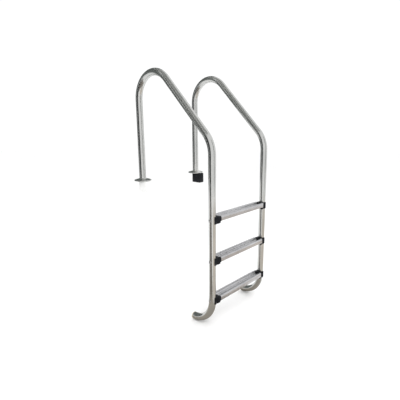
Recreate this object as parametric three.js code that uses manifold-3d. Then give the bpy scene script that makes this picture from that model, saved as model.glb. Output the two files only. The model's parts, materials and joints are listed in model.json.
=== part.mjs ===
// Deck-mounted swimming pool ladder: two bent stainless handrails, three treads clamped between
// them, and a pair of wedge anchors that hold the handrails' deck legs.
//
// Units are millimetres. +X runs from the left handrail to the right one, +Y from the pool towards
// the deck, and +Z up. The origin lies on the deck, midway between the two deck legs.
import * as THREE from 'three';
import { mergeVertices } from 'three/addons/utils/BufferGeometryUtils.js';
import Module from 'manifold-3d';

// ---------------------------------------------------------------- driving dimensions
const GAP = 0.3; // left between pieces that touch
const CUT = 5; // how far a cutter runs past what it cuts

// Handrails: one bent tube each, seen from the side
const TUBE_RADIUS = 21.5;
const TUBE_WALL = 1.5;
const RAIL_SPACING = 500; // centre to centre
const LEG_SPACING = 635; // from the deck leg to the pool-side upright
const CREST_HEIGHT = 683; // tube centre at the highest point, above the deck
const CREST_RADIUS = 160;
const SLOPE = THREE.MathUtils.degToRad(44.5); // fall of the straight grip towards the pool
const SHOULDER_RADIUS = 165; // bend from the sloping grip into the upright
const HOOK_DEPTH = 817; // tube centre at the lowest point, below the deck
const HOOK_RADIUS = 155;
const TUBE_SIDES = 16;
const BEND_STEP = THREE.MathUtils.degToRad(7.5);
const HOLE_CLEARANCE = 0.4; // around the step bolts
const STEP_HOLE_SIDES = 12;

// Treads
const STEP_COUNT = 3;
const FIRST_STEP = 132; // top of the upper tread, below the deck
const STEP_PITCH = 250;
const TREAD_DEPTH = 72;
const TREAD_HEIGHT = 30;
const TREAD_NOSE = 9; // outside radius of the rounded long edges
const TREAD_DISH = 13; // how far the middle of the tread lies below its long edges
const TREAD_FOLD = 2.5; // bend between apron and lip, on the middle of the sheet
const DISH_SEGMENTS = 8;
const TREAD_LIP = 9; // width of the inward lips under the aprons
const SHEET = 1.8;

// End caps between the treads and the uprights
const CAP_REACH = 39; // from the upright's axis to the tread's end
const CAP_WRAP = 4; // how far the saddle reaches past the upright's axis
const CAP_DEPTH = 77;
const CAP_TOP = 3; // below the tread's long edges
const CAP_BOTTOM = 45; // below the same edges
const CAP_EDGE = 12; // radius of the cap's upper long edges
const CAP_WAIST = [[0, 20], [2.5, 28]]; // its sides below that: inset, depth
const CAP_KEEL = 25; // half width where the lower edges start to round
const CAP_KEEL_RADIUS = 5;
const CAP_CHAMFER = 2; // at the tread's end
const CAP_FLARE = Math.PI / 3.4; // where the saddle's round ends and the sides spread out
const SADDLE_RADIUS = 26.5; // outside of the saddle around the upright
const SADDLE_CLEARANCE = 1.3; // the lower caps reach down to where the hook starts to bend
const PLUG_LENGTH = 26; // part of the cap inside the tread
const PLUG_CORNER = 3; // chamfer on its lower edges
const PLUG_ROOT = 1; // how far the plug starts inside the cap's body
const CAP_WALL = 3;
const CAP_WEB = 8; // thickness behind the upright
const NUT_SLOT_WIDTH = 20; // the caps are open underneath, where the nut is reached
const NUT_SLOT_ROOM = 7; // from the bolt's axis up to the slot's roof

// Step fasteners, M8
const STEP_BOLT_RADIUS = 4;
const STEP_BOLT_DROP = 24; // bolt axis below the tread's long edges
const STEP_HEAD_RADIUS = 6.5;
const STEP_HEAD_HEIGHT = 2.5;
const STEP_HEAD_DOME = [[0.55, 0.9], [0.88, 0.55], [1, 0.15]]; // shares of radius and height
const SADDLE_WASHER_RADIUS = 9;
const SADDLE_WASHER_THICKNESS = 1.5;
const NUT_ACROSS_FLATS = 13;
const NUT_HEIGHT = 6.5;
const STEP_BOLT_END = 39; // bolt tip, from the upright's axis

// Wedge anchors in the deck
const SOCKET_DEPTH = 71;
const SOCKET_FLOOR = 4;
const SOCKET_RADIUS = 25.5;
const HOUSING_WIDTH = 48;
const HOUSING_REACH = 64; // from the leg's axis towards the pool
const HOUSING_CORNER = 5;
const BORE_CLEARANCE = 0.35;
const DRAIN_RADIUS = 9;
const POCKET_WIDTH = 28;
const POCKET_TOP = 20; // below the deck
const POCKET_OUTER = 51; // outer wall of the pocket at its top
const POCKET_TAPER = 0.12; // outward drift of that wall per unit of depth
const WEDGE_TOP = 26;
const WEDGE_BOTTOM = 58;
const WEDGE_CLEARANCE = 0.4;
const ANCHOR_BOLT_RADIUS = 5; // M10
const ANCHOR_HOLE_CLEARANCE = 0.5;
const ANCHOR_BOLT_REACH = 37.5; // from the leg's axis
const ANCHOR_BOLT_TIP = 62;
const BRIDGE_TOP = 13;
const ANCHOR_WASHER_RADIUS = 10;
const ANCHOR_WASHER_THICKNESS = 2;
const ANCHOR_HEAD_ACROSS_FLATS = 16;
const ANCHOR_HEAD_HEIGHT = 6.4;

// Escutcheons
const ESCUTCHEON_RADIUS = 56;
const ESCUTCHEON_HEIGHT = 17;
const ESCUTCHEON_SIDE = 7; // height of the upright rim
const ESCUTCHEON_CORNER = 4;
const ESCUTCHEON_COLLAR = 27; // radius where the slope meets the collar
const ESCUTCHEON_COLLAR_FOOT = 14; // height of the sheet there
const ESCUTCHEON_LIP = 1; // chamfer at the collar's top
const ESCUTCHEON_SHEET = 1.6;
const ESCUTCHEON_CLEARANCE = 0.5;

// Foot plugs in the hooked ends
const FOOT_LENGTH = 9;
const FOOT_FACE_RADIUS = 15;
const FOOT_EDGE = 6.5; // radius between the face and the side
const FOOT_SPIGOT = 14;
const FOOT_SPIGOT_TAPER = 1.4; // so that the straight spigot clears the bent tube

// ---------------------------------------------------------------- materials
const finish = (color, roughness, metalness) =>
  new THREE.MeshStandardMaterial({ color, roughness, metalness });
const polishedSteel = finish(0xc9cbcc, 0.12, 1);
const pressedSteel = finish(0xc4c7c9, 0.3, 1);
const fastenerSteel = finish(0xb7babd, 0.35, 1);
const castBronze = finish(0xa07c48, 0.5, 1);
const blackPlastic = finish(0x17181b, 0.45, 0);
const whitePlastic = finish(0xf2f2ee, 0.4, 0);
const creamPlastic = finish(0xe6dfcc, 0.5, 0);

// ---------------------------------------------------------------- closed-mesh helpers
const wasm = await Module();
wasm.setup();

/** The manifold-3d solid of a closed geometry. */
function solid(geometry) {
  const bare = geometry.clone();
  bare.deleteAttribute('normal');
  bare.deleteAttribute('uv');
  const welded = mergeVertices(bare, 1e-4);
  return new wasm.Manifold(new wasm.Mesh({
    numProp: 3,
    vertProperties: new Float32Array(welded.attributes.position.array),
    triVerts: new Uint32Array(welded.index.array),
  }));
}

/** The three.js geometry of a manifold-3d solid. */
function geometryOf(body) {
  const mesh = body.getMesh();
  const geometry = new THREE.BufferGeometry();
  geometry.setAttribute('position', new THREE.BufferAttribute(mesh.vertProperties, 3));
  geometry.setIndex(new THREE.BufferAttribute(mesh.triVerts, 1));
  geometry.computeVertexNormals();
  return geometry;
}

/** Corners of a regular polygon around the origin. */
function ringPoints(radius, sides, phase = 0) {
  return Array.from({ length: sides }, (_, i) => {
    const angle = phase + (i / sides) * 2 * Math.PI;
    return new THREE.Vector2(radius * Math.cos(angle), radius * Math.sin(angle));
  });
}

/** An outline pushed along +Z from `low` to `high`. */
function prism(points, low, high, hole = null) {
  const shape = new THREE.Shape(points);
  if (hole) shape.holes.push(new THREE.Path(hole));
  return new THREE.ExtrudeGeometry(shape, { depth: high - low, bevelEnabled: false })
    .translate(0, 0, low);
}

const disc = (radius, low, high, sides) => prism(ringPoints(radius, sides), low, high);
const rectangle = (x0, y0, x1, y1) => [
  new THREE.Vector2(x0, y0), new THREE.Vector2(x1, y0),
  new THREE.Vector2(x1, y1), new THREE.Vector2(x0, y1),
];

/** Hexagon with two flats facing +X and -X. */
const hexagon = (acrossFlats) => ringPoints(acrossFlats / Math.sqrt(3), 6, Math.PI / 6);

/** Turns a geometry built along +Z so that it runs along +X, its own X pointing down. */
const alongX = (geometry) => geometry.rotateY(Math.PI / 2);

/** An outline given in (Y, Z), pushed along +X. */
function crossPrism(points, low, high) {
  const geometry = prism(points, low, high);
  geometry.applyMatrix4(new THREE.Matrix4().makeBasis(
    new THREE.Vector3(0, 1, 0), new THREE.Vector3(0, 0, 1), new THREE.Vector3(1, 0, 0)));
  return geometry;
}

/** Points on an arc, both ends included. */
function arc(cx, cy, radius, from, to, segments) {
  return Array.from({ length: segments + 1 }, (_, i) => {
    const angle = from + ((to - from) * i) / segments;
    return new THREE.Vector2(cx + radius * Math.cos(angle), cy + radius * Math.sin(angle));
  });
}

// ---------------------------------------------------------------- handrails
/** A path that extrusion follows station by station, so that straight runs need no steps. */
class StationPath extends THREE.Curve {
  constructor(stations) {
    super();
    this.stations = stations;
  }

  station(t) {
    return this.stations[Math.round(t * (this.stations.length - 1))];
  }

  getPointAt(t) {
    return this.station(t).point.clone();
  }

  getTangentAt(t) {
    return this.station(t).tangent.clone();
  }
}

/** Side view of a handrail's centreline, from inside the deck socket to the hooked foot. */
function railStations() {
  const uprightY = -LEG_SPACING;
  const crestY = -CREST_RADIUS;
  const crestZ = CREST_HEIGHT - CREST_RADIUS;
  const stations = [];
  const add = (y, z, heading) => stations.push({
    point: new THREE.Vector3(0, y, z),
    tangent: new THREE.Vector3(0, Math.cos(heading), Math.sin(heading)),
  });
  /** Anticlockwise bend, seen with the deck on the right. */
  const bend = (cy, cz, radius, from, to) => {
    const steps = Math.round((to - from) / BEND_STEP);
    for (let i = 0; i <= steps; i++) {
      const angle = from + ((to - from) * i) / steps;
      add(cy + radius * Math.cos(angle), cz + radius * Math.sin(angle), angle + Math.PI / 2);
    }
  };
  const crestEnd = Math.PI / 2 + SLOPE;
  const gripTopY = crestY + CREST_RADIUS * Math.cos(crestEnd);
  const gripTopZ = crestZ + CREST_RADIUS * Math.sin(crestEnd);
  const shoulderY = uprightY + SHOULDER_RADIUS;
  const gripFootY = shoulderY + SHOULDER_RADIUS * Math.cos(crestEnd);
  const gripFootZ = gripTopZ - (gripTopY - gripFootY) * Math.tan(SLOPE);
  const shoulderZ = gripFootZ - SHOULDER_RADIUS * Math.sin(crestEnd);

  add(0, -SOCKET_DEPTH + SOCKET_FLOOR + GAP, Math.PI / 2);
  bend(crestY, crestZ, CREST_RADIUS, 0, crestEnd);
  bend(shoulderY, shoulderZ, SHOULDER_RADIUS, crestEnd, Math.PI);
  bend(uprightY + HOOK_RADIUS, HOOK_RADIUS - HOOK_DEPTH, HOOK_RADIUS, Math.PI, 1.5 * Math.PI);
  return stations;
}

const stepTops = Array.from({ length: STEP_COUNT }, (_, i) => -FIRST_STEP - i * STEP_PITCH);

/** Bent tube with a cross hole for each step bolt. */
function railTube() {
  const stations = railStations();
  const section = new THREE.Shape(ringPoints(TUBE_RADIUS, TUBE_SIDES, Math.PI / TUBE_SIDES));
  section.holes.push(
    new THREE.Path(ringPoints(TUBE_RADIUS - TUBE_WALL, TUBE_SIDES, Math.PI / TUBE_SIDES)));
  const bent = new THREE.ExtrudeGeometry(section, {
    extrudePath: new StationPath(stations), steps: stations.length - 1, bevelEnabled: false,
  });
  let tube = solid(bent);
  for (const top of stepTops) {
    const drill = alongX(disc(
      STEP_BOLT_RADIUS + HOLE_CLEARANCE, -TUBE_RADIUS - CUT, TUBE_RADIUS + CUT, STEP_HOLE_SIDES));
    tube = tube.subtract(solid(drill.translate(0, -LEG_SPACING, top - STEP_BOLT_DROP)));
  }
  return geometryOf(tube);
}

/** Plug pressed into the hooked end; its flat face bears on the pool wall. */
function footPlug() {
  const spigot = (TUBE_RADIUS - TUBE_WALL) * Math.cos(Math.PI / TUBE_SIDES) - GAP;
  const profile = [
    new THREE.Vector2(0, -FOOT_SPIGOT),
    new THREE.Vector2(spigot - FOOT_SPIGOT_TAPER, -FOOT_SPIGOT),
    new THREE.Vector2(spigot, GAP),
    new THREE.Vector2(TUBE_RADIUS, GAP),
    ...arc(FOOT_FACE_RADIUS, FOOT_LENGTH - FOOT_EDGE, FOOT_EDGE, 0, Math.PI / 2, 4),
    new THREE.Vector2(0, FOOT_LENGTH),
  ];
  return new THREE.LatheGeometry(profile, 20);
}

// ---------------------------------------------------------------- treads
/** A bent strip of sheet: its middle line thickened to both sides. */
function strip(middle, thickness) {
  const offset = (side) => middle.map((point, i) => {
    const before = middle[Math.max(i - 1, 0)];
    const after = middle[Math.min(i + 1, middle.length - 1)];
    const along = after.clone().sub(before).normalize();
    return new THREE.Vector2(point.x - along.y * side, point.y + along.x * side);
  });
  return [...offset(-thickness / 2), ...offset(thickness / 2).reverse()];
}

/** Dished top of the tread, `inset` below its upper surface, from +Y to -Y. */
function dishPoints(inset) {
  const edge = TREAD_DEPTH / 2 - TREAD_NOSE;
  return Array.from({ length: DISH_SEGMENTS + 1 }, (_, i) => {
    const y = edge * (1 - (2 * i) / DISH_SEGMENTS);
    const depth = TREAD_DISH * (0.5 + 0.5 * Math.cos((Math.PI * y) / edge));
    return new THREE.Vector2(y, -depth - inset);
  });
}

/** Folded channel, open below, with a dished top, rounded long edges and inward lips. */
function tread() {
  const half = (TREAD_DEPTH - SHEET) / 2;
  const bottom = -TREAD_HEIGHT + SHEET / 2;
  const nose = TREAD_NOSE - SHEET / 2;
  const edge = TREAD_DEPTH / 2 - TREAD_NOSE;
  const back = [
    ...arc(edge, -TREAD_NOSE, nose, Math.PI / 2, 0, 4).slice(1),
    ...arc(half - TREAD_FOLD, bottom + TREAD_FOLD, TREAD_FOLD, 0, -Math.PI / 2, 3),
    new THREE.Vector2(half - TREAD_LIP, bottom),
  ];
  const front = back.map((p) => new THREE.Vector2(-p.x, p.y)).reverse();
  const middle = [...front, ...dishPoints(SHEET / 2).reverse(), ...back];
  const halfLength = RAIL_SPACING / 2 - CAP_REACH - GAP;
  return crossPrism(strip(middle, SHEET).reverse(), -halfLength, halfLength);
}

// ---------------------------------------------------------------- end caps
/** Plan view of the cap, from the saddle's jaws to the tread's end; +X points to the tread. */
function capPlan() {
  const half = CAP_DEPTH / 2;
  const jaw = Math.asin(CAP_WRAP / SADDLE_RADIUS);
  const side = [
    new THREE.Vector2(CAP_REACH, half - CAP_CHAMFER),
    new THREE.Vector2(CAP_REACH - CAP_CHAMFER, half),
    ...arc(0, 0, SADDLE_RADIUS, CAP_FLARE, Math.PI / 2 + jaw, 5),
  ];
  return [...side, ...side.map((p) => new THREE.Vector2(p.x, -p.y)).reverse()];
}

/** End view of the cap: rounded above, narrower underneath. */
function capProfile() {
  const half = CAP_DEPTH / 2;
  const side = [
    ...arc(half - CAP_EDGE, -CAP_TOP - CAP_EDGE, CAP_EDGE, Math.PI / 2, 0, 5),
    ...CAP_WAIST.map(([inset, depth]) => new THREE.Vector2(half - inset, -depth)),
    ...arc(CAP_KEEL, -CAP_BOTTOM + CAP_KEEL_RADIUS, CAP_KEEL_RADIUS, Math.PI / 5, -Math.PI / 2, 3),
  ];
  return [...side, ...side.map((p) => new THREE.Vector2(-p.x, p.y)).reverse()].reverse();
}

/** Inside of the tread channel, shrunk by `inset`. */
function channelProfile(inset) {
  const half = TREAD_DEPTH / 2 - SHEET - inset;
  const bottom = -TREAD_HEIGHT + SHEET + inset;
  const corner = Math.max(TREAD_NOSE - SHEET - inset, 1);
  const edge = half - corner;
  const top = -SHEET - inset;
  const right = [
    new THREE.Vector2(half - PLUG_CORNER, bottom),
    new THREE.Vector2(half, bottom + PLUG_CORNER),
    ...arc(edge, top - corner, corner, 0, Math.PI / 2, 3).slice(0, -1),
  ];
  const left = right.map((p) => new THREE.Vector2(-p.x, p.y)).reverse();
  return [...right, ...dishPoints(SHEET + inset), ...left];
}

/** Moulded cap: a saddle against the upright, a hollow body and a plug inside the tread. */
function endCap() {
  const web = TUBE_RADIUS + CAP_WEB;
  const body = solid(prism(capPlan(), -CAP_BOTTOM - CUT, CUT))
    .intersect(solid(crossPrism(capProfile(), -CAP_WRAP - CUT, CAP_REACH + CUT)));
  const plug = solid(crossPrism(channelProfile(GAP), CAP_REACH - PLUG_ROOT, CAP_REACH + PLUG_LENGTH));
  const hollow = solid(
    crossPrism(channelProfile(GAP + CAP_WALL), web, CAP_REACH + PLUG_LENGTH + CUT));
  const upright = solid(
    disc(TUBE_RADIUS + SADDLE_CLEARANCE, -CAP_BOTTOM - CUT, CUT, 2 * TUBE_SIDES));
  const slot = solid(crossPrism(
    rectangle(-NUT_SLOT_WIDTH / 2, -CAP_BOTTOM - CUT, NUT_SLOT_WIDTH / 2, -STEP_BOLT_DROP + NUT_SLOT_ROOM),
    web, CAP_REACH + PLUG_LENGTH + CUT));
  const hole = solid(alongX(disc(STEP_BOLT_RADIUS + HOLE_CLEARANCE, 0, web + CUT, STEP_HOLE_SIDES))
    .translate(0, 0, -STEP_BOLT_DROP));
  return geometryOf(
    body.add(plug).subtract(hollow).subtract(slot).subtract(upright).subtract(hole));
}

// ---------------------------------------------------------------- step fasteners
// Each is built along +X from outside the upright inwards, on the bolt's axis.

/** Low round head and shank. */
function stepBolt() {
  const seat = -TUBE_RADIUS - SADDLE_WASHER_THICKNESS - 2 * GAP;
  const tipChamfer = 1;
  const profile = [
    new THREE.Vector2(0, seat - STEP_HEAD_HEIGHT),
    ...STEP_HEAD_DOME.map(([across, up]) => new THREE.Vector2(
      STEP_HEAD_RADIUS * across, seat - STEP_HEAD_HEIGHT * up)),
    new THREE.Vector2(STEP_HEAD_RADIUS, seat),
    new THREE.Vector2(STEP_BOLT_RADIUS, seat),
    new THREE.Vector2(STEP_BOLT_RADIUS, STEP_BOLT_END - tipChamfer),
    new THREE.Vector2(STEP_BOLT_RADIUS - tipChamfer, STEP_BOLT_END),
    new THREE.Vector2(0, STEP_BOLT_END),
  ];
  return alongX(new THREE.LatheGeometry(profile, 12).rotateX(Math.PI / 2));
}

/** Washer whose inner face follows the upright. */
function saddleWasher() {
  const outer = TUBE_RADIUS + GAP + SADDLE_WASHER_THICKNESS;
  const blank = solid(alongX(prism(
    ringPoints(SADDLE_WASHER_RADIUS, 16), -outer, -TUBE_RADIUS + CUT,
    ringPoints(STEP_BOLT_RADIUS + HOLE_CLEARANCE, 12))));
  return geometryOf(blank.subtract(solid(
    disc(TUBE_RADIUS + GAP, -2 * SADDLE_WASHER_RADIUS, 2 * SADDLE_WASHER_RADIUS, 32))));
}

/** Hexagon nut against the cap's web. */
function stepNut() {
  const seat = TUBE_RADIUS + CAP_WEB + GAP;
  return alongX(prism(hexagon(NUT_ACROSS_FLATS), seat, seat + NUT_HEIGHT,
    ringPoints(STEP_BOLT_RADIUS + HOLE_CLEARANCE, 12)));
}

// ---------------------------------------------------------------- wedge anchors
/** Outer wall of the wedge pocket at a depth below the deck, from the leg's axis. */
const pocketWall = (depth) => POCKET_OUTER + POCKET_TAPER * (depth - POCKET_TOP);

/** Block with vertical sides and a face that leans outwards with depth, on the pool side. */
function taperedBlock(halfWidth, inner, inset, topDepth, bottomDepth) {
  const outline = [
    new THREE.Vector2(-inner, -topDepth),
    new THREE.Vector2(-(pocketWall(topDepth) - inset), -topDepth),
    new THREE.Vector2(-(pocketWall(bottomDepth) - inset), -bottomDepth),
    new THREE.Vector2(-inner, -bottomDepth),
  ];
  return solid(crossPrism(outline, -halfWidth, halfWidth));
}

/** Plan view of the socket: a sleeve around the leg with a squared wedge housing. */
function socketPlan() {
  const half = HOUSING_WIDTH / 2;
  const corner = HOUSING_CORNER;
  const end = -HOUSING_REACH;
  const tangent = Math.acos(half / SOCKET_RADIUS);
  return [
    ...arc(0, 0, SOCKET_RADIUS, -tangent, Math.PI + tangent, 20),
    ...arc(-half + corner, end + corner, corner, Math.PI, 1.5 * Math.PI, 3),
    ...arc(half - corner, end + corner, corner, -Math.PI / 2, 0, 3),
  ];
}

/** Socket cast into the deck; its floor is pierced so that water drains. */
function anchorSocket() {
  const bore = TUBE_RADIUS + BORE_CLEARANCE;
  const floor = -SOCKET_DEPTH + SOCKET_FLOOR;
  const recess = solid(prism(
    rectangle(-POCKET_WIDTH / 2, -POCKET_OUTER, POCKET_WIDTH / 2, 0), -BRIDGE_TOP, CUT));
  const boltHole = solid(disc(ANCHOR_BOLT_RADIUS + ANCHOR_HOLE_CLEARANCE, -POCKET_TOP - CUT, CUT, 12)
    .translate(0, -ANCHOR_BOLT_REACH, 0));
  return geometryOf(solid(prism(socketPlan(), -SOCKET_DEPTH, -GAP))
    .subtract(solid(disc(bore, floor, CUT, 3 * TUBE_SIDES)))
    .subtract(solid(disc(DRAIN_RADIUS, -SOCKET_DEPTH - CUT, CUT, 16)))
    .subtract(taperedBlock(POCKET_WIDTH / 2, 0, 0, POCKET_TOP, SOCKET_DEPTH - SOCKET_FLOOR))
    .subtract(recess)
    .subtract(boltHole));
}

/** Wedge that the bolt draws up between the leg and the pocket's leaning wall. */
function anchorWedge() {
  const leg = solid(disc(TUBE_RADIUS + GAP, -SOCKET_DEPTH, 0, 3 * TUBE_SIDES));
  const thread = solid(disc(ANCHOR_BOLT_RADIUS + GAP, -SOCKET_DEPTH, 0, 12)
    .translate(0, -ANCHOR_BOLT_REACH, 0));
  return geometryOf(
    taperedBlock(
      POCKET_WIDTH / 2 - WEDGE_CLEARANCE, TUBE_RADIUS - CUT, WEDGE_CLEARANCE, WEDGE_TOP, WEDGE_BOTTOM)
      .subtract(leg).subtract(thread));
}

/** Hexagon-head bolt that hangs from the bridge over the pocket. */
function anchorBolt() {
  const seat = -BRIDGE_TOP + ANCHOR_WASHER_THICKNESS + 2 * GAP;
  const head = solid(prism(hexagon(ANCHOR_HEAD_ACROSS_FLATS), seat, seat + ANCHOR_HEAD_HEIGHT));
  const shank = solid(disc(ANCHOR_BOLT_RADIUS, -ANCHOR_BOLT_TIP, seat + 1, 16));
  return geometryOf(head.add(shank));
}

function anchorWasher() {
  const seat = -BRIDGE_TOP + GAP;
  return prism(ringPoints(ANCHOR_WASHER_RADIUS, 20), seat, seat + ANCHOR_WASHER_THICKNESS,
    ringPoints(ANCHOR_BOLT_RADIUS + ANCHOR_HOLE_CLEARANCE, 20));
}

/** Cover plate of thin sheet, hollow underneath, free to slide up the leg. */
function escutcheon() {
  const inner = TUBE_RADIUS + ESCUTCHEON_CLEARANCE;
  const sheet = ESCUTCHEON_SHEET;
  const side = ESCUTCHEON_SIDE;
  const corner = ESCUTCHEON_CORNER;
  const foot = ESCUTCHEON_COLLAR_FOOT;
  const centre = ESCUTCHEON_RADIUS - corner;
  const slope = Math.atan2(foot - side, centre - ESCUTCHEON_COLLAR);
  const lean = Math.PI / 2 - slope;
  const profile = [
    new THREE.Vector2(ESCUTCHEON_RADIUS, 0),
    ...arc(centre, side - corner, corner, 0, lean, 3),
    new THREE.Vector2(ESCUTCHEON_COLLAR, foot),
    new THREE.Vector2(inner + sheet, ESCUTCHEON_HEIGHT - ESCUTCHEON_LIP),
    new THREE.Vector2(inner + sheet - ESCUTCHEON_LIP, ESCUTCHEON_HEIGHT),
    new THREE.Vector2(inner, ESCUTCHEON_HEIGHT),
    new THREE.Vector2(inner, foot - sheet),
    new THREE.Vector2(ESCUTCHEON_COLLAR, foot - sheet),
    ...arc(centre, side - corner, corner - sheet, lean, 0, 2),
    new THREE.Vector2(ESCUTCHEON_RADIUS - sheet, 0),
    new THREE.Vector2(ESCUTCHEON_RADIUS, 0),
  ];
  return new THREE.LatheGeometry(profile, 26).rotateX(Math.PI / 2);
}

// ---------------------------------------------------------------- assembly
function piece(name, geometry, material, place = [0, 0, 0]) {
  const mesh = new THREE.Mesh(geometry, material);
  mesh.name = name;
  mesh.position.set(...place);
  return mesh;
}

const SIDES = [
  { side: 'left', x: -RAIL_SPACING / 2, inward: 0, socket: whitePlastic },
  { side: 'right', x: RAIL_SPACING / 2, inward: Math.PI, socket: blackPlastic },
];
const STEP_NAMES = ['upper', 'middle', 'lower'];

/** Handrail, foot plug and anchor of one side. */
function railAssembly({ side, x, socket }) {
  const group = new THREE.Group();
  group.position.x = x;
  const foot = [0, HOOK_RADIUS - LEG_SPACING, -HOOK_DEPTH];
  group.add(
    piece(`${side}_rail_tube`, railTube(), polishedSteel),
    piece(`${side}_foot_plug`, footPlug(), creamPlastic, foot),
    piece(`${side}_escutcheon`, escutcheon(), polishedSteel),
    piece(`${side}_anchor_socket`, anchorSocket(), socket),
    piece(`${side}_anchor_wedge`, anchorWedge(), castBronze),
    piece(`${side}_anchor_bolt`, anchorBolt(), fastenerSteel, [0, -ANCHOR_BOLT_REACH, 0]),
    piece(`${side}_anchor_washer`, anchorWasher(), fastenerSteel, [0, -ANCHOR_BOLT_REACH, 0]),
  );
  return group;
}

/** Tread with an end cap and its fasteners at each upright. */
function stepAssembly(name, top) {
  const group = new THREE.Group();
  group.position.set(0, -LEG_SPACING, top);
  group.add(piece(`${name}_tread`, tread(), pressedSteel));
  for (const { side, x, inward } of SIDES) {
    const end = new THREE.Group();
    end.position.x = x;
    end.rotation.z = inward;
    const axis = [0, 0, -STEP_BOLT_DROP];
    end.add(
      piece(`${name}_${side}_end_cap`, endCap(), blackPlastic),
      piece(`${name}_${side}_step_bolt`, stepBolt(), fastenerSteel, axis),
      piece(`${name}_${side}_saddle_washer`, saddleWasher(), fastenerSteel, axis),
      piece(`${name}_${side}_step_nut`, stepNut(), fastenerSteel, axis),
    );
    group.add(end);
  }
  return group;
}

const ladder = new THREE.Group();
ladder.name = 'pool_ladder';
SIDES.forEach((side) => ladder.add(railAssembly(side)));
STEP_NAMES.forEach((name, i) => ladder.add(stepAssembly(name, stepTops[i])));

export default ladder;
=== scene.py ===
# Swimming pool ladder: smooth handrails, embossed treads, moulded caps and cover plates,
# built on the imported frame. Metres, +Z up, the deck's surface at Z = 0.
import json
import math

import bmesh
import bpy
from mathutils import Euler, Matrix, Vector


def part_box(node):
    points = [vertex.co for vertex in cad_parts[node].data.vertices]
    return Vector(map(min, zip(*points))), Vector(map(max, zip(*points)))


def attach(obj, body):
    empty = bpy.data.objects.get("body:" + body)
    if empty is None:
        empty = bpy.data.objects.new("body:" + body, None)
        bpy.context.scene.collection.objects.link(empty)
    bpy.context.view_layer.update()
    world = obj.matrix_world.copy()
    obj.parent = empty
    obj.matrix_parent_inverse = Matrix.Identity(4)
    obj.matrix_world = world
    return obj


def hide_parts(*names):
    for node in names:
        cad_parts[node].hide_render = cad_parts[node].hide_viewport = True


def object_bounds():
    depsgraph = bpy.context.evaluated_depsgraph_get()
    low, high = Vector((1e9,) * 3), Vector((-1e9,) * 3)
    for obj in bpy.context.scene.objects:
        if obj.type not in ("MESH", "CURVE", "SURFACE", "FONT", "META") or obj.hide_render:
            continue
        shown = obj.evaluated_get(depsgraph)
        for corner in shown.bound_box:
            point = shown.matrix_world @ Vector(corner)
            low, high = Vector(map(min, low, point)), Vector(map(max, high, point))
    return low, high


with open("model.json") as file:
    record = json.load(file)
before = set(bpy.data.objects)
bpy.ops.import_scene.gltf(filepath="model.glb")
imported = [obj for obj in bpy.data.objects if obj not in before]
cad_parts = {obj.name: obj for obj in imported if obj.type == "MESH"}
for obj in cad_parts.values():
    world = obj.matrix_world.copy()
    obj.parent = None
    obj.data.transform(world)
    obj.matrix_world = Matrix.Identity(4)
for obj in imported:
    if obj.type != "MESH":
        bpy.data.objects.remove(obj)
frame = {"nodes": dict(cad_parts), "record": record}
cad_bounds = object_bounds()

SIDES = ("left", "right")
STEPS = ("upper", "middle", "lower")
MM = 0.001

# ------------------------------------------------------------------ driving dimensions
TUBE_RADIUS = 21.5 * MM
TUBE_WALL = 1.5 * MM
CREST_RADIUS = 160 * MM
SHOULDER_RADIUS = 165 * MM
SLOPE = math.radians(44.5)
SOCKET_FLOOR = 4 * MM
GAP = 0.3 * MM  # between pieces that touch
TUBE_SIDES = 64
BEND_STEP = math.radians(2)

SHEET = 1.8 * MM
TREAD_NOSE = 9 * MM
TREAD_DISH = 13 * MM
TREAD_LIP = 9 * MM
TREAD_FOLD = 2.5 * MM
TREAD_SAMPLE = 1.25 * MM
STUD_PITCH = 9 * MM
STUD_ROW_PITCH = STUD_PITCH * 0.866  # staggered rows, so that each stud has six neighbours
STUD_RADIUS = 3.3 * MM
STUD_HEIGHT = 0.8 * MM
STUD_FLANK = 0.75  # share of a stud's radius that slopes
STUD_COVER = 0.8  # share of the dish's depth that has studs
STUD_MARGIN = 38 * MM  # plain sheet at the tread's ends

PLATE_SHEET = 1.6 * MM
PLATE_SIDE = 7 * MM
PLATE_CORNER = 4 * MM
PLATE_COLLAR = 27 * MM
PLATE_COLLAR_FOOT = 14 * MM
PLATE_BORE = 22 * MM
PLATE_LIP = 1 * MM  # rolled edge round the bore

FOOT_EDGE = 6.5 * MM
FOOT_LENGTH = 9 * MM
FOOT_RIM = 0.6 * MM  # fine moulded groove beside the tube's end
FOOT_NOSE_CHAMFER = 1.3 * MM  # lead-in on the spigot
FOOT_SPIGOT_GAP = 0.6 * MM
FOOT_RING = (0.62, 0.58, 0.50, 0.46)  # sunk ring, as shares of the flat face's radius
FOOT_RING_DEPTH = 0.5 * MM


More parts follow.
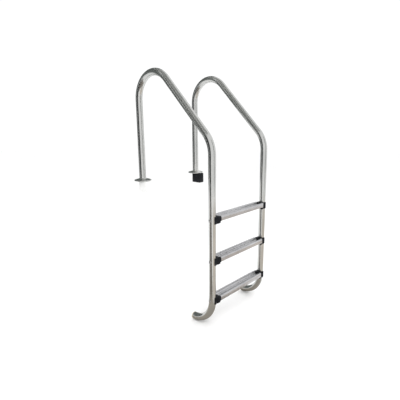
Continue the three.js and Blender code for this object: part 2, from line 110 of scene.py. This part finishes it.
# ------------------------------------------------------------------ node materials
class Shader:
    """A Principled material with the few procedural helpers that this scene uses."""

    def __init__(self, name):
        self.material = bpy.data.materials.new(name)
        self.material.use_nodes = True
        self.tree = self.material.node_tree
        self.principled = self.tree.nodes["Principled BSDF"]
        coordinates = self.tree.nodes.new("ShaderNodeTexCoord")
        self.place = coordinates.outputs["Object"]

    def set(self, **values):
        for socket, value in values.items():
            self.principled.inputs[socket.replace("_", " ")].default_value = value
        return self

    def noise(self, scale, detail=4.0, stretch=(1, 1, 1)):
        mapping = self.tree.nodes.new("ShaderNodeMapping")
        mapping.inputs["Scale"].default_value = stretch
        texture = self.tree.nodes.new("ShaderNodeTexNoise")
        texture.inputs["Scale"].default_value = scale
        texture.inputs["Detail"].default_value = detail
        self.tree.links.new(self.place, mapping.inputs["Vector"])
        self.tree.links.new(mapping.outputs["Vector"], texture.inputs["Vector"])
        return texture.outputs["Fac"]

    def between(self, factor, low, high):
        node = self.tree.nodes.new("ShaderNodeMapRange")
        node.inputs["From Min"].default_value = 0.3
        node.inputs["From Max"].default_value = 0.7
        node.inputs["To Min"].default_value = low
        node.inputs["To Max"].default_value = high
        self.tree.links.new(factor, node.inputs["Value"])
        return node.outputs["Result"]

    def colours(self, factor, low, high):
        node = self.tree.nodes.new("ShaderNodeMix")
        node.data_type = "RGBA"
        node.inputs["A"].default_value = (*low, 1)
        node.inputs["B"].default_value = (*high, 1)
        self.tree.links.new(self.between(factor, 0, 1), node.inputs["Factor"])
        self.tree.links.new(node.outputs["Result"], self.principled.inputs["Base Color"])
        return self

    def roughness(self, factor, low, high):
        self.tree.links.new(self.between(factor, low, high), self.principled.inputs["Roughness"])
        return self

    def bump(self, height, strength, distance):
        node = self.tree.nodes.new("ShaderNodeBump")
        node.inputs["Strength"].default_value = strength
        node.inputs["Distance"].default_value = distance
        previous = self.principled.inputs["Normal"]
        if previous.is_linked:
            self.tree.links.new(previous.links[0].from_socket, node.inputs["Normal"])
        self.tree.links.new(height, node.inputs["Height"])
        self.tree.links.new(node.outputs["Normal"], previous)
        return self


def steel(name, low, high, gloss, grain):
    """Stainless steel: faint smudges in its gloss, and polishing marks."""
    shader = Shader(name).set(Metallic=1.0)
    shader.colours(shader.noise(7), low, high)
    shader.roughness(shader.noise(16, 6), *gloss)
    return shader.bump(shader.noise(900, 3, (1, 1, 0.12)), grain, 0.00004).material


def plastic(name, low, high, gloss, grain, specular):
    """Moulded plastic: fine spark-eroded grain and a little unevenness."""
    shader = Shader(name).set(Specular_IOR_Level=specular)
    shader.colours(shader.noise(30), low, high)
    shader.roughness(shader.noise(60, 5), *gloss)
    shader.bump(shader.noise(1400, 3), grain, 0.00005)
    return shader.bump(shader.noise(45, 2), 0.12, 0.0004).material


def cast_bronze(name):
    shader = Shader(name).set(Metallic=1.0)
    shader.colours(shader.noise(90, 6), (0.30, 0.20, 0.09), (0.52, 0.37, 0.19))
    shader.roughness(shader.noise(200, 5), 0.42, 0.68)
    return shader.bump(shader.noise(1100, 5), 0.5, 0.0002).material


MATERIALS = {
    "polished_steel": steel("polished_steel", (0.50, 0.51, 0.50), (0.60, 0.60, 0.585), (0.15, 0.21), 0.002),
    "tread_steel": steel("tread_steel", (0.44, 0.44, 0.455), (0.60, 0.60, 0.615), (0.18, 0.32), 0.05),
    "fastener_steel": steel("fastener_steel", (0.50, 0.50, 0.50), (0.64, 0.64, 0.64), (0.24, 0.4), 0.2),
    "bronze": cast_bronze("cast_bronze"),
    "black_plastic": plastic(
        "black_plastic", (0.006, 0.007, 0.009), (0.013, 0.014, 0.017), (0.34, 0.50), 0.5, 0.12),
    "white_plastic": plastic(
        "white_plastic", (0.80, 0.80, 0.79), (0.88, 0.88, 0.87), (0.34, 0.46), 0.4, 0.4),
    "cream_plastic": plastic(
        "cream_plastic", (0.70, 0.64, 0.50), (0.80, 0.74, 0.61), (0.42, 0.55), 0.4, 0.3),
}
SLOT_OF = {row["node"]: row["material_slot"] for row in frame["record"]["subparts"]}
BODY_OF = {
    node: body for body, nodes in frame["record"]["behaviour"]["bodies"].items() for node in nodes
}


# ------------------------------------------------------------------ mesh helpers
def stand_in(node, mesh):
    """Puts a mesh in the place of a CAD node: same body, same material slot."""
    mesh.validate()
    for polygon in mesh.polygons:
        polygon.use_smooth = True
    piece = bpy.data.objects.new(f"{node}_surface", mesh)
    bpy.context.scene.collection.objects.link(piece)
    mesh.materials.clear()
    mesh.materials.append(MATERIALS[SLOT_OF[node]])
    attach(piece, BODY_OF[node])
    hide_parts(node)
    return piece


def mesh_from(name, points, faces):
    mesh = bpy.data.meshes.new(name)
    mesh.from_pydata(points, [], faces)
    work = bmesh.new()
    work.from_mesh(mesh)
    bmesh.ops.remove_doubles(work, verts=work.verts, dist=1e-7)
    # a profile that ends on its axis leaves only an edge there, with no face
    loose = [edge for edge in work.edges if not edge.link_faces]
    bmesh.ops.delete(work, geom=loose, context="EDGES")
    bmesh.ops.recalc_face_normals(work, faces=work.faces)
    work.to_mesh(mesh)
    work.free()
    return mesh


def rings(name, rows, closed_rows=False, sheet_ends=False):
    """Joins equal closed rings of points in order into one surface.

    With sheet_ends, a ring is an outer line and the same line back inside it, and both end
    rings are closed between the two.
    """
    count = len(rows[0])
    points = [point for row in rows for point in row]
    last = len(rows) if closed_rows else len(rows) - 1
    faces = []
    for i in range(last):
        for j in range(count):
            following = (i + 1) % len(rows)
            side = (j + 1) % count
            faces.append((
                i * count + j, i * count + side, following * count + side, following * count + j))
    if sheet_ends:
        for start in (0, (len(rows) - 1) * count):
            for j in range(count // 2 - 1):
                back = start + count - 1 - j
                faces.append((start + j, start + j + 1, back - 1, back))
    return mesh_from(name, points, faces)


def arc(cx, cy, radius, start, end, segments):
    angles = [start + (end - start) * i / segments for i in range(segments + 1)]
    return [(cx + radius * math.cos(a), cy + radius * math.sin(a)) for a in angles]


def lathe(name, profile, axis_point, up, segments=96):
    """Turns a closed (radius, height) profile about an axis through axis_point along `up`."""
    turn = Vector((0, 0, 1)).rotation_difference(Vector(up))
    rows = []
    for i in range(segments):
        angle = 2 * math.pi * i / segments
        rows.append([
            Vector(axis_point) + turn @ Vector((r * math.cos(angle), r * math.sin(angle), h))
            for r, h in profile])
    return rings(name, rows, closed_rows=True)


def soften(piece, width, segments=3, angle=32):
    """Rounds a piece's sharp edges, and keeps its flat faces flat."""
    bevel = piece.modifiers.new("edges", "BEVEL")
    bevel.width = width
    bevel.segments = segments
    bevel.limit_method = "ANGLE"
    bevel.angle_limit = math.radians(angle)
    bevel.harden_normals = True
    return piece


def refined(node, width):
    """The CAD node's own shape with rounded edges."""
    mesh = frame["nodes"][node].data.copy()
    work = bmesh.new()
    work.from_mesh(mesh)
    bmesh.ops.remove_doubles(work, verts=work.verts, dist=1e-6)
    bmesh.ops.dissolve_limit(
        work, angle_limit=math.radians(0.5), verts=work.verts, edges=work.edges)
    work.to_mesh(mesh)
    work.free()
    return soften(stand_in(node, mesh), width)


# ------------------------------------------------------------------ handrails
def rail_line(side):
    """Centreline of a handrail, from its deck socket over the crest to the hooked foot."""
    low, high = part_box(f"{side}_rail_tube")
    plug_low, plug_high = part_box(f"{side}_foot_plug")
    x = (low.x + high.x) / 2
    leg_y = 0.0
    upright_y = (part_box(f"upper_{side}_end_cap")[0].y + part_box(f"upper_{side}_end_cap")[1].y) / 2
    hook_z = (plug_low.z + plug_high.z) / 2
    hook_end_y = plug_high.y - FOOT_LENGTH
    hook_radius = hook_end_y - upright_y
    crest_y = leg_y - CREST_RADIUS
    crest_z = high.z - TUBE_RADIUS - CREST_RADIUS
    turn = math.pi / 2 + SLOPE
    shoulder_y = upright_y + SHOULDER_RADIUS
    grip_top = (crest_y + CREST_RADIUS * math.cos(turn), crest_z + CREST_RADIUS * math.sin(turn))
    grip_foot_y = shoulder_y + SHOULDER_RADIUS * math.cos(turn)
    grip_foot_z = grip_top[1] - (grip_top[0] - grip_foot_y) * math.tan(SLOPE)
    shoulder_z = grip_foot_z - SHOULDER_RADIUS * math.sin(turn)
    socket_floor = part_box(f"{side}_anchor_socket")[0].z + SOCKET_FLOOR + GAP
    line = [(leg_y, socket_floor, math.pi / 2)]
    bends = (
        (crest_y, crest_z, CREST_RADIUS, 0, turn),
        (shoulder_y, shoulder_z, SHOULDER_RADIUS, turn, math.pi),
        (hook_end_y, hook_z + hook_radius, hook_radius, math.pi, 1.5 * math.pi),
    )
    for cy, cz, radius, start, end in bends:
        steps = max(1, round((end - start) / BEND_STEP))
        for i in range(steps + 1):
            a = start + (end - start) * i / steps
            line.append((cy + radius * math.cos(a), cz + radius * math.sin(a), a + math.pi / 2))
    return x, line


def rail(side):
    x, line = rail_line(side)

    def ring(y, z, heading, radius):
        across = Vector((0, -math.sin(heading), math.cos(heading)))
        return [
            Vector((x, y, z)) + radius * (math.cos(a) * Vector((1, 0, 0)) + math.sin(a) * across)
            for a in (2 * math.pi * i / TUBE_SIDES for i in range(TUBE_SIDES))]

    outside = [ring(*station, TUBE_RADIUS) for station in line]
    inside = [ring(*station, TUBE_RADIUS - TUBE_WALL) for station in reversed(line)]
    mesh = rings(f"{side}_rail", outside + inside, closed_rows=True)
    return soften(stand_in(f"{side}_rail_tube", mesh), 0.3 * MM, 2, 60)


def foot_plug(side):
    """Plug with a domed edge and a shallow moulded ring on its face."""
    node = f"{side}_foot_plug"
    low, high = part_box(node)
    centre = ((low.x + high.x) / 2, high.y - FOOT_LENGTH, (low.z + high.z) / 2)
    face = TUBE_RADIUS - FOOT_EDGE
    spigot = TUBE_RADIUS - TUBE_WALL - FOOT_SPIGOT_GAP
    ring_outer, ring_floor_outer, ring_floor_inner, ring_inner = (face * share for share in FOOT_RING)
    profile = [
        (0, low.y - centre[1]), (spigot - FOOT_NOSE_CHAMFER, low.y - centre[1]),
        (spigot, GAP), (TUBE_RADIUS - FOOT_RIM, GAP),
        (TUBE_RADIUS, GAP + FOOT_RIM),
        *arc(face, FOOT_LENGTH - FOOT_EDGE, FOOT_EDGE, 0, math.pi / 2, 12),
        (ring_outer, FOOT_LENGTH), (ring_floor_outer, FOOT_LENGTH - FOOT_RING_DEPTH),
        (ring_floor_inner, FOOT_LENGTH - FOOT_RING_DEPTH), (ring_inner, FOOT_LENGTH),
        (0, FOOT_LENGTH),
    ]
    return soften(stand_in(node, lathe(node, profile, centre, (0, 1, 0))), 0.25 * MM)


def cover_plate(side):
    node = f"{side}_escutcheon"
    low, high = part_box(node)
    radius = (high.y - low.y) / 2
    height = high.z - low.z
    centre = radius - PLATE_CORNER
    lean = math.pi / 2 - math.atan2(PLATE_COLLAR_FOOT - PLATE_SIDE, centre - PLATE_COLLAR)
    profile = [
        (radius, 0),
        *arc(centre, PLATE_SIDE - PLATE_CORNER, PLATE_CORNER, 0, lean, 10),
        (PLATE_COLLAR + 1.5 * MM, PLATE_COLLAR_FOOT - 0.3 * MM),
        (PLATE_COLLAR - 0.6 * MM, PLATE_COLLAR_FOOT + 0.3 * MM),
        *arc(PLATE_BORE + PLATE_LIP, height - PLATE_LIP, PLATE_LIP, math.radians(35), math.pi, 8),
        (PLATE_BORE, PLATE_COLLAR_FOOT - PLATE_SHEET),
        (PLATE_COLLAR, PLATE_COLLAR_FOOT - PLATE_SHEET),
        *arc(centre, PLATE_SIDE - PLATE_CORNER, PLATE_CORNER - PLATE_SHEET, lean, 0, 6),
        (radius - PLATE_SHEET, 0),
    ]
    place = ((low.x + high.x) / 2, (low.y + high.y) / 2, low.z)
    return stand_in(node, lathe(node, profile, place, (0, 0, 1), 128))


# ------------------------------------------------------------------ treads
def smoothstep(value):
    t = min(max(value, 0), 1)
    return t * t * (3 - 2 * t)


def stud(along, across, half_length, reach):
    """Height of the staggered round studs over the plain sheet."""
    row = round(across / STUD_ROW_PITCH)
    shift = STUD_PITCH / 2 if row % 2 else 0.0
    column = round((along - shift) / STUD_PITCH)
    centre_x = column * STUD_PITCH + shift
    centre_y = row * STUD_ROW_PITCH
    if abs(centre_x) > half_length - STUD_MARGIN or abs(centre_y) > reach:
        return 0.0
    distance = math.hypot(along - centre_x, across - centre_y)
    return STUD_HEIGHT * smoothstep((STUD_RADIUS - distance) / (STUD_FLANK * STUD_RADIUS))


def tread(step):
    """Pressed channel with a dished, studded top, rounded noses and inward lips."""
    node = f"{step}_tread"
    low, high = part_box(node)
    half_depth = (high.y - low.y) / 2
    centre_y = (high.y + low.y) / 2
    bottom = low.z - high.z
    edge = half_depth - TREAD_NOSE
    half_length = (high.x - low.x) / 2
    samples = round(2 * edge / TREAD_SAMPLE)

    def dish(y):
        return -TREAD_DISH * (0.5 + 0.5 * math.cos(math.pi * y / edge))

    def half_side(inset):
        nose = TREAD_NOSE - inset
        fold = TREAD_FOLD + SHEET / 2 - inset
        fold_centre = (half_depth - TREAD_FOLD - SHEET / 2, bottom + TREAD_FOLD + SHEET / 2)
        return [
            *arc(edge, -TREAD_NOSE, nose, math.pi / 2, 0, 10)[1:],
            *arc(*fold_centre, fold, 0, -math.pi / 2, 6),
            (half_depth - TREAD_LIP, bottom + inset)]

    right_out, right_in = half_side(0), half_side(SHEET)
    left_out = [(-y, z) for y, z in reversed(right_out)]
    left_in = [(-y, z) for y, z in reversed(right_in)]
    top = [-edge + 2 * edge * i / samples for i in range(samples + 1)]

    def section(x):
        outer = [(y, dish(y) + stud(x, y, half_length, STUD_COVER * edge)) for y in top]
        inner = [(y, dish(y) - SHEET) for y in top]
        outline = left_out + outer + right_out + list(reversed(left_in + inner + right_in))
        return [Vector((x, centre_y + y, high.z + z)) for y, z in outline]

    count = round(2 * half_length / TREAD_SAMPLE)
    middle = (high.x + low.x) / 2
    rows = [section(-half_length + 2 * half_length * i / count) for i in range(count + 1)]
    rows = [[point + Vector((middle, 0, 0)) for point in row] for row in rows]
    return stand_in(node, rings(node, rows, sheet_ends=True))


# ------------------------------------------------------------------ build
for side in SIDES:
    rail(side)
    foot_plug(side)
    cover_plate(side)
    refined(f"{side}_anchor_socket", 1.2 * MM)
    refined(f"{side}_anchor_wedge", 0.8 * MM)
    refined(f"{side}_anchor_bolt", 0.4 * MM)
    refined(f"{side}_anchor_washer", 0.3 * MM)
for step in STEPS:
    tread(step)
    for side in SIDES:
        refined(f"{step}_{side}_end_cap", 1.0 * MM)
        refined(f"{step}_{side}_step_bolt", 0.3 * MM)
        refined(f"{step}_{side}_saddle_washer", 0.3 * MM)
        refined(f"{step}_{side}_step_nut", 0.4 * MM)

# ------------------------------------------------------------------ studio
CAMERA_PLACE = Vector((-1.628, -1.900, 0.395))
CAMERA_HEADING = math.radians(49.29)  # from +Y towards +X
CAMERA_PITCH = math.radians(13.02)  # below the horizon
CAMERA_ROLL = math.radians(0.27)
CAMERA_LENS = 30.78
CAMERA_SHIFT = -0.0573
FLOOR_HALF = 14.0
WORLD_STRENGTH = 1.05
FLOOR_CLEARANCE = 0.001
BOARD_LIFT = -0.0005  # between the floor and the hooks


def camera():
    data = bpy.data.cameras.new("camera")
    data.lens = CAMERA_LENS
    data.sensor_width = 36
    data.shift_x = CAMERA_SHIFT
    piece = bpy.data.objects.new("camera", data)
    piece.location = CAMERA_PLACE
    look = Euler((math.pi / 2 - CAMERA_PITCH, 0, -CAMERA_HEADING), "XYZ").to_matrix()
    roll = Euler((0, 0, CAMERA_ROLL), "XYZ").to_matrix()
    piece.rotation_euler = (look @ roll).to_euler()
    bpy.context.scene.collection.objects.link(piece)
    bpy.context.scene.camera = piece


def board(name, corners, colour):
    """A flat board that only reflections see: it neither lights nor shades anything."""
    mesh = bpy.data.meshes.new(name)
    mesh.from_pydata(corners, [], [tuple(range(len(corners)))])
    shader = Shader(name).set(Roughness=0.9)
    shader.colours(shader.noise(3), colour, tuple(1.1 * c for c in colour))
    mesh.materials.append(shader.material)
    piece = bpy.data.objects.new(name, mesh)
    piece.visible_camera = False
    piece.visible_diffuse = False
    piece.visible_shadow = False
    bpy.context.scene.collection.objects.link(piece)


def upright_board(name, start, end, low, high, colour):
    """A board standing on the line from start to end, both (x, y), between two heights."""
    corners = [(*start, low), (*end, low), (*end, high), (*start, high)]
    board(name, corners, colour)


def ceiling_board(near, far, height, colour):
    """A level board above the handrails' crests, from corner near to corner far."""
    corners = [
        (near[0], near[1], height), (far[0], near[1], height), (far[0], far[1], height),
        (near[0], far[1], height)]
    board("ceiling_board", corners, colour)


def floor_board(name, outline, colour):
    """A board lying just over the floor, for what the low parts of the tubes reflect."""
    z = cad_bounds[0][2] + BOARD_LIFT
    board(name, [(x, y, z) for x, y in outline], colour)


def softbox(name, place, target, size, watts):
    """A soft lamp. Reflections don't see it, so it leaves no glint on the polished tubes."""
    data = bpy.data.lights.new(name, "AREA")
    data.shape = "RECTANGLE"
    data.size, data.size_y = size
    data.energy = watts
    piece = bpy.data.objects.new(name, data)
    piece.location = place
    piece.rotation_euler = (Vector(target) - Vector(place)).to_track_quat("-Z", "Y").to_euler()
    piece.visible_glossy = False
    bpy.context.scene.collection.objects.link(piece)


def floor():
    mesh = bpy.data.meshes.new("floor")
    z = cad_bounds[0][2] - FLOOR_CLEARANCE
    half = FLOOR_HALF
    mesh.from_pydata(
        [(-half, -half, z), (half, -half, z), (half, half, z), (-half, half, z)], [],
        [(0, 1, 2, 3)])
    shader = Shader("floor_paint").set(Roughness=0.8)
    shader.colours(shader.noise(2), (0.95, 0.95, 0.95), (0.965, 0.965, 0.965))
    mesh.materials.append(shader.material)
    piece = bpy.data.objects.new("floor", mesh)
    bpy.context.scene.collection.objects.link(piece)


def surroundings():
    world = bpy.data.worlds.new("studio")
    world.use_nodes = True
    background = world.node_tree.nodes["Background"]
    background.inputs["Color"].default_value = (1, 1, 1, 1)
    background.inputs["Strength"].default_value = WORLD_STRENGTH
    bpy.context.scene.world = world
    bpy.context.scene.view_settings.view_transform = "Standard"


camera()
floor()
surroundings()
upright_board("left_board", (-3.4, -1.1), (-3.4, 2.0), -0.8, 1.3, (0.02, 0.022, 0.024))
upright_board("left_high_board", (-3.4, -1.1), (-3.4, 2.0), 1.3, 4.0, (0.20, 0.205, 0.195))
upright_board("right_board", (0.4, -4.6), (1.6, -4.6), -0.8, 4.0, (0.16, 0.16, 0.16))
upright_board("back_board", (-4.5, 3.6), (4.3, 3.6), -0.8, 7.0, (0.13, 0.142, 0.137))
upright_board("low_back_board", (4.3, 3.6), (7.0, 3.6), -0.8, 1.7, (0.20, 0.205, 0.20))
ceiling_board((-2.6, -2.2), (0.45, 2.6), 3.4, (0.34, 0.345, 0.335))
floor_board(
    "left_floor_board", [(-0.62, -1.0), (-0.62, -0.3), (-3.4, 1.4), (-3.4, -2.0)],
    (0.17, 0.15, 0.13))
floor_board(
    "near_floor_board", [(0.3, -0.9), (0.3, -0.3), (-0.62, -0.3), (-0.62, -1.0)],
    (0.40, 0.365, 0.32))
floor_board(
    "right_floor_board", [(-2.2, -3.6), (2.5, -3.6), (2.5, -0.9), (0.32, -0.9), (-0.6, -1.05)],
    (0.56, 0.51, 0.455))
softbox("key", (-1.6, -3.2, 3.0), (0, -0.4, 0), (1.2, 2.2), 60)
softbox("fill", (3.2, -1.5, 2.4), (0, -0.4, 0), (1.0, 3.0), 40)
